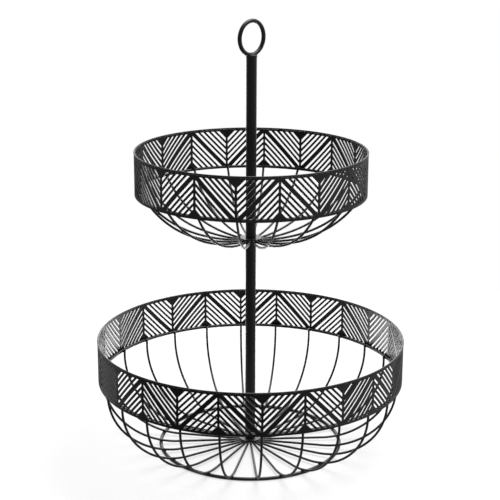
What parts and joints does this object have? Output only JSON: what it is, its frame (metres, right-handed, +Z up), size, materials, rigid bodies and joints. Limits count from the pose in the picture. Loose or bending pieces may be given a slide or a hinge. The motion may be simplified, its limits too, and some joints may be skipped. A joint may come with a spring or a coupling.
{
  "type": "tiered wire basket",
  "caption": "Free-standing two-tier round wire basket: slotted chevron bands over bowed wire ribs, on a screwed centre pole with a ring handle.",
  "frame": {"origin": "on the pole's axis, on the surface that the base ring stands on", "axes": "+Z up along the pole, -Y towards the front of the picture, +X to its right"},
  "size_m": [0.3, 0.3, 0.4225],
  "materials": {
    "coated_wire": "satin black powder coat on steel wire",
    "coated_sheet": "satin black powder coat on slotted steel sheet",
    "coated_pole": "satin black powder coat on steel tube",
    "plated_steel": "zinc-plated steel"
  },
  "bodies": {
    "root": {"lower_rim_wire": "coated_wire", "lower_band": "coated_sheet", "lower_band_wire": "coated_wire", "lower_hub": "coated_sheet", "lower_rib_01": "coated_wire", "lower_rib_02": "coated_wire", "lower_rib_03": "coated_wire", "lower_rib_04": "coated_wire", "lower_rib_05": "coated_wire", "lower_rib_06": "coated_wire", "lower_rib_07": "coated_wire", "lower_rib_08": "coated_wire", "lower_rib_09": "coated_wire", "lower_rib_10": "coated_wire", "lower_rib_11": "coated_wire", "lower_rib_12": "coated_wire", "lower_rib_13": "coated_wire", "lower_rib_14": "coated_wire", "lower_rib_15": "coated_wire", "lower_rib_16": "coated_wire", "lower_rib_17": "coated_wire", "lower_rib_18": "coated_wire", "lower_rib_19": "coated_wire", "lower_rib_20": "coated_wire", "lower_rib_21": "coated_wire", "lower_rib_22": "coated_wire", "lower_rib_23": "coated_wire", "lower_rib_24": "coated_wire", "upper_rim_wire": "coated_wire", "upper_band": "coated_sheet", "upper_band_wire": "coated_wire", "upper_hub": "coated_sheet", "upper_rib_01": "coated_wire", "upper_rib_02": "coated_wire", "upper_rib_03": "coated_wire", "upper_rib_04": "coated_wire", "upper_rib_05": "coated_wire", "upper_rib_06": "coated_wire", "upper_rib_07": "coated_wire", "upper_rib_08": "coated_wire", "upper_rib_09": "coated_wire", "upper_rib_10": "coated_wire", "upper_rib_11": "coated_wire", "upper_rib_12": "coated_wire", "upper_rib_13": "coated_wire", "upper_rib_14": "coated_wire", "upper_rib_15": "coated_wire", "upper_rib_16": "coated_wire", "upper_rib_17": "coated_wire", "upper_rib_18": "coated_wire", "base_ring": "coated_wire", "lower_pole": "coated_pole", "upper_pole": "coated_pole", "pole_cap": "coated_pole", "handle_ring": "coated_wire", "pole_bushes": "plated_steel", "pole_stud": "plated_steel", "pole_screw": "plated_steel"}
  },
  "joints": []
}
